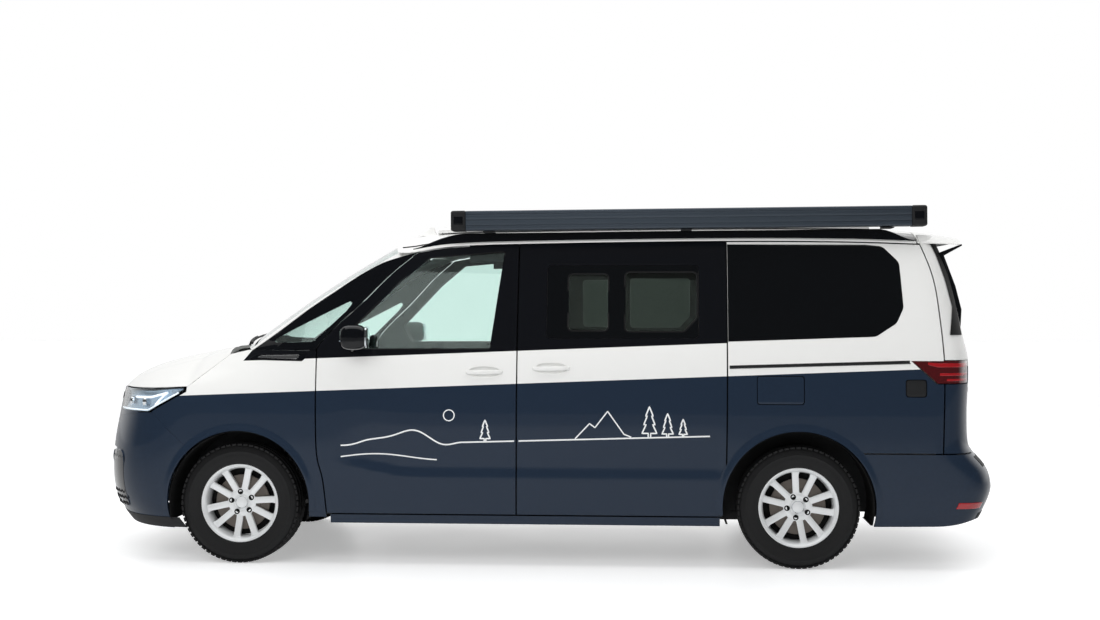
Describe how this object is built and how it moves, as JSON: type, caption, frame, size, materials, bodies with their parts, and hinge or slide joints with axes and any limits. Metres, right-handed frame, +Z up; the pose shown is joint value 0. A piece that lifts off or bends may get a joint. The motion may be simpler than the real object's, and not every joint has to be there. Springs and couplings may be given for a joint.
{
  "type": "camper van",
  "caption": "Camper van: hollow two-tone body, hinged doors, lids and pop-up roof, side awning case, steered front wheels, seats, bench and kitchen unit.",
  "frame": {"origin": "on the ground, at mid-length and on the centre plane, below the middle of the bounding box", "axes": "+X towards the tail, +Y towards the van's right side, +Z up; the visible left side faces -Y"},
  "size_m": [5.173, 2.246, 2.0071],
  "materials": {
    "paint_blue": "gloss",
    "paint_white": "gloss",
    "black_plastic": "satin",
    "gloss_black": "gloss",
    "clear_glass": "polished",
    "tinted_glass": "polished",
    "lamp_clear": "polished",
    "lamp_red": "polished",
    "awning_grey": "anodised",
    "tyre_rubber": "matt",
    "alloy": "painted silver",
    "chassis_steel": "matt",
    "engine_metal": "raw",
    "seat_fabric": "woven",
    "cabin_plastic": "grained",
    "furniture": "laminate"
  },
  "bodies": {
    "body_shell": {"floor_pan": "chassis_steel", "engine": "engine_metal", "front_subframe": "chassis_steel", "rear_axle": "chassis_steel", "front_bumper": "paint_blue", "nose_panel": "paint_blue", "grille": "black_plastic", "headlamps": "lamp_clear", "front_wings": "paint_white", "side_frames": "black_plastic", "windscreen_posts": "paint_white", "windscreen": "clear_glass", "roof": "paint_white", "sliding_doors": "paint_blue", "side_glass": "tinted_glass", "rear_quarters": "paint_white", "rear_bumper": "paint_blue", "tail_lamps": "lamp_red", "awning": "awning_grey", "roof_fairings": "gloss_black", "dashboard": "cabin_plastic", "front_seats": "seat_fabric", "rear_bench": "seat_fabric", "kitchen_unit": "furniture", "cowl": "black_plastic"},
    "steering": {"steering_wheel": "cabin_plastic"},
    "front_left_upright": {"knuckle_left": "engine_metal"},
    "front_right_upright": {"knuckle_right": "engine_metal"},
    "front_left_wheel": {"tyre_front_left": "tyre_rubber", "rim_front_left": "alloy"},
    "front_right_wheel": {"tyre_front_right": "tyre_rubber", "rim_front_right": "alloy"},
    "rear_left_wheel": {"tyre_rear_left": "tyre_rubber", "rim_rear_left": "alloy"},
    "rear_right_wheel": {"tyre_rear_right": "tyre_rubber", "rim_rear_right": "alloy"},
    "left_door": {"door_left": "paint_blue", "door_glass_left": "clear_glass", "mirror_left": "gloss_black"},
    "right_door": {"door_right": "paint_blue", "door_glass_right": "clear_glass", "mirror_right": "gloss_black"},
    "bonnet_lid": {"bonnet": "paint_white"},
    "tail_door": {"tailgate": "paint_white", "tailgate_glass": "tinted_glass"},
    "pop_roof": {"pop_top": "paint_white"},
    "filler_flap": {"fuel_flap": "paint_blue"},
    "inlet_flap": {"socket_flap": "paint_blue"}
  },
  "joints": [
    {"name": "steering_turn", "type": "hinge", "parent": "body_shell", "child": "steering", "pos_m": [-0.9455, -0.43, 1.06], "axis": [0.8829, 0, 0.4695], "range_deg": [-525, 525]},
    {"name": "left_kingpin", "type": "hinge", "parent": "body_shell", "child": "front_left_upright", "pos_m": [-1.6455, -0.746, 0.338], "axis": [0, 0, 1], "range_deg": [-35, 35]},
    {"name": "right_kingpin", "type": "hinge", "parent": "body_shell", "child": "front_right_upright", "pos_m": [-1.6455, 0.746, 0.338], "axis": [0, 0, 1], "range_deg": [-35, 35]},
    {"name": "front_left_roll", "type": "hinge", "parent": "front_left_upright", "child": "front_left_wheel", "pos_m": [-1.6455, -0.826, 0.338], "axis": [0, 1, 0], "continuous": true},
    {"name": "front_right_roll", "type": "hinge", "parent": "front_right_upright", "child": "front_right_wheel", "pos_m": [-1.6455, 0.826, 0.338], "axis": [0, 1, 0], "continuous": true},
    {"name": "rear_left_roll", "type": "hinge", "parent": "body_shell", "child": "rear_left_wheel", "pos_m": [1.4785, -0.826, 0.338], "axis": [0, 1, 0], "continuous": true},
    {"name": "rear_right_roll", "type": "hinge", "parent": "body_shell", "child": "rear_right_wheel", "pos_m": [1.4785, 0.826, 0.338], "axis": [0, 1, 0], "continuous": true},
    {"name": "left_door_hinge", "type": "hinge", "parent": "body_shell", "child": "left_door", "pos_m": [-1.1975, -0.9705, 0.8], "axis": [0, 0, -1], "range_deg": [0, 68]},
    {"name": "right_door_hinge", "type": "hinge", "parent": "body_shell", "child": "right_door", "pos_m": [-1.1975, 0.9705, 0.8], "axis": [0, 0, 1], "range_deg": [0, 68]},
    {"name": "bonnet_hinge", "type": "hinge", "parent": "body_shell", "child": "bonnet_lid", "pos_m": [-1.7295, 0, 1.192], "axis": [0, 1, 0], "range_deg": [0, 50]},
    {"name": "tailgate_hinge", "type": "hinge", "parent": "body_shell", "child": "tail_door", "pos_m": [2.1525, 0, 1.884], "axis": [0, -1, 0], "range_deg": [0, 85]},
    {"name": "pop_roof_hinge", "type": "hinge", "parent": "body_shell", "child": "pop_roof", "pos_m": [1.9305, 0, 1.908], "axis": [0, 1, 0], "range_deg": [0, 24]},
    {"name": "filler_flap_hinge", "type": "hinge", "parent": "body_shell", "child": "filler_flap", "pos_m": [1.2515, -0.9675, 0.986], "axis": [0, 0, -1], "range_deg": [0, 100]},
    {"name": "inlet_flap_hinge", "type": "hinge", "parent": "body_shell", "child": "inlet_flap", "pos_m": [2.056, -0.9645, 0.999], "axis": [0, 0, -1], "range_deg": [0, 100]}
  ],
  "couplings": [
    {"joint": "left_kingpin", "follows": "steering_turn", "ratio": 0.066667},
    {"joint": "right_kingpin", "follows": "steering_turn", "ratio": 0.066667}
  ]
}
